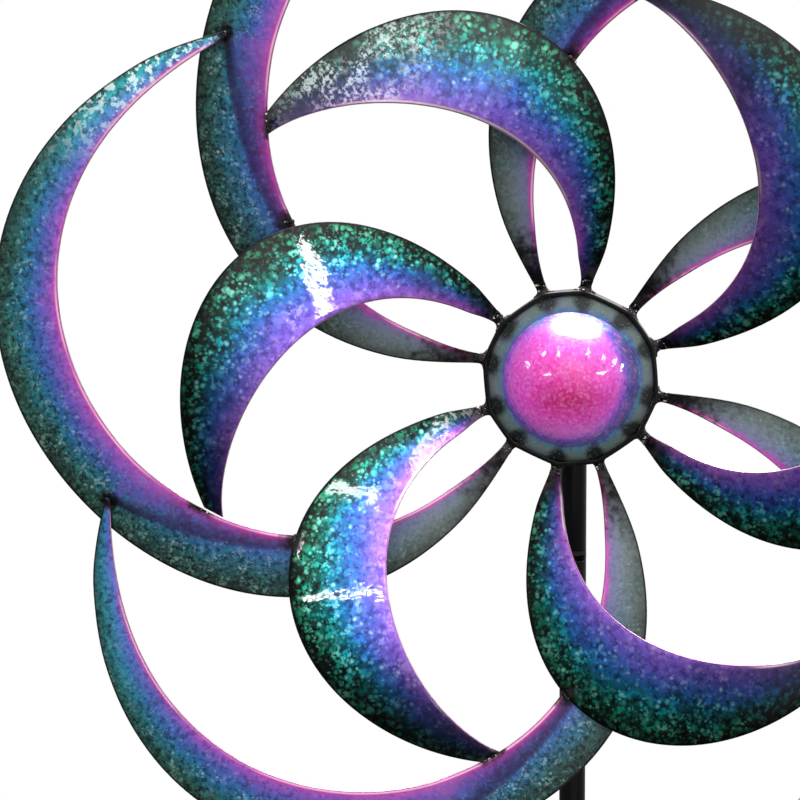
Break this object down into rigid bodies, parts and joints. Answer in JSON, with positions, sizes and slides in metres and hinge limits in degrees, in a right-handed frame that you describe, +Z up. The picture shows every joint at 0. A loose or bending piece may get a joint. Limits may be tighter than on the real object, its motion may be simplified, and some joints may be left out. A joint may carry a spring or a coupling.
{
  "type": "wind spinner",
  "caption": "Garden wind spinner: a wheel of curved sheet-steel blades on a ball-bearing hub, turning on a swivelling head above a sectional pole and a forked ground stake.",
  "frame": {"origin": "on the pole axis at ground level, at the underside of the lower fork bar's crossbar", "axes": "+Z up along the pole; the wheel's front faces -Y and it spins about the Y direction"},
  "size_m": [0.5952, 0.1817, 2.095],
  "materials": {
    "blade_enamel_bright": "gloss transparent enamel over steel, magenta inner edge through violet and blue to speckled teal and near-black outer edge",
    "blade_enamel_deep": "gloss transparent enamel over steel, magenta-red inner edge to grey teal outer area",
    "dome_enamel": "gloss pink enamel shading to violet and blue at the edge",
    "flange_enamel": "grey-green enamel, dark at the welds",
    "black_powder_coat": "satin black powder coat",
    "zinc_steel": "zinc plated",
    "bearing_steel": "ground and polished",
    "cage_brass": "pressed sheet",
    "bush_nylon": "moulded nylon"
  },
  "bodies": {
    "pole": {"lower_fork_bar": "black_powder_coat", "upper_fork_bar": "black_powder_coat", "pole_socket": "black_powder_coat", "socket_thumb_screw": "zinc_steel", "lower_pole_tube": "black_powder_coat", "middle_pole_tube": "black_powder_coat", "upper_pole_tube": "black_powder_coat", "lower_joint_screw": "zinc_steel", "lower_joint_nut": "zinc_steel", "upper_joint_screw": "zinc_steel", "upper_joint_nut": "zinc_steel", "pole_pin": "zinc_steel", "thrust_ball": "bearing_steel"},
    "head": {"swivel_sleeve": "black_powder_coat", "sleeve_top_cap": "black_powder_coat", "upper_swivel_bush": "bush_nylon", "lower_swivel_bush": "bush_nylon", "axle_boss": "black_powder_coat", "axle": "zinc_steel", "rear_bearing_inner_ring": "bearing_steel", "bearing_spacer": "zinc_steel", "front_bearing_inner_ring": "bearing_steel", "axle_washer": "zinc_steel", "axle_lock_nut": "zinc_steel"},
    "front_cage": {"front_bearing_ball_cage": "cage_brass"},
    "rear_cage": {"rear_bearing_ball_cage": "cage_brass"},
    "wheel": {"hub_housing": "black_powder_coat", "hub_rim": "black_powder_coat", "hub_flange": "flange_enamel", "rear_hub_plate": "black_powder_coat", "dome_cap": "dome_enamel", "front_bearing_outer_ring": "bearing_steel", "rear_bearing_outer_ring": "bearing_steel", "front_blade_1": "blade_enamel_bright", "front_blade_2": "blade_enamel_bright", "front_blade_3": "blade_enamel_bright", "front_blade_4": "blade_enamel_bright", "front_blade_5": "blade_enamel_bright", "front_blade_6": "blade_enamel_bright", "back_blade_1": "blade_enamel_deep", "back_blade_2": "blade_enamel_deep", "back_blade_3": "blade_enamel_deep", "back_blade_4": "blade_enamel_deep", "back_blade_5": "blade_enamel_deep", "back_blade_6": "blade_enamel_deep"}
  },
  "joints": [
    {"name": "head_swivel", "type": "hinge", "parent": "pole", "child": "head", "pos_m": [0, 0, 1.59], "axis": [0, 0, 1], "continuous": true},
    {"name": "wheel_spin", "type": "hinge", "parent": "head", "child": "wheel", "pos_m": [0, -0.046, 1.59], "axis": [0, -1, 0], "continuous": true},
    {"name": "front_cage_spin", "type": "hinge", "parent": "head", "child": "front_cage", "pos_m": [0, -0.046, 1.59], "axis": [0, -1, 0], "continuous": true},
    {"name": "rear_cage_spin", "type": "hinge", "parent": "head", "child": "rear_cage", "pos_m": [0, -0.046, 1.59], "axis": [0, -1, 0], "continuous": true}
  ],
  "couplings": [
    {"joint": "front_cage_spin", "follows": "wheel_spin", "ratio": 0.38},
    {"joint": "rear_cage_spin", "follows": "wheel_spin", "ratio": 0.38}
  ]
}
